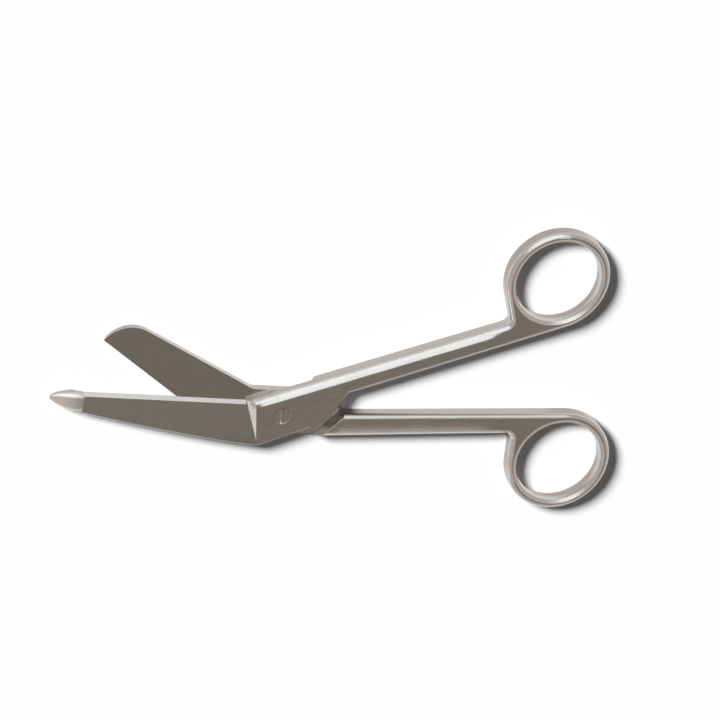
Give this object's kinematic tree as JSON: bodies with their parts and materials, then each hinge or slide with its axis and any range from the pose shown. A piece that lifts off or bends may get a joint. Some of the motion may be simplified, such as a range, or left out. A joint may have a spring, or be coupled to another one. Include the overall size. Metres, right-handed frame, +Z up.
{
  "type": "bandage scissors",
  "caption": "Angled steel bandage scissors with a blunt probe on the lower blade, lapped halves on a slotted pivot screw and round finger rings.",
  "frame": {"origin": "on the pivot axis, in the plane of the underside that the scissors lie on", "axes": "+Z up along the pivot axis, +X from the pivot towards the finger rings along the plain half's shank, +Y to the probe half's ring"},
  "size_m": [0.1476, 0.078, 0.0046],
  "materials": {
    "satin_steel": "satin, finely brushed",
    "screw_steel": "satin, ground flush"
  },
  "bodies": {
    "plain": {"plain_half": "satin_steel", "pivot_screw": "screw_steel"},
    "probe": {"probe_half": "satin_steel"}
  },
  "joints": [
    {"name": "pivot", "type": "hinge", "parent": "plain", "child": "probe", "pos_m": [0, 0, 0.0023], "axis": [0, 0, 1], "range_deg": [-17.7, 75]}
  ]
}
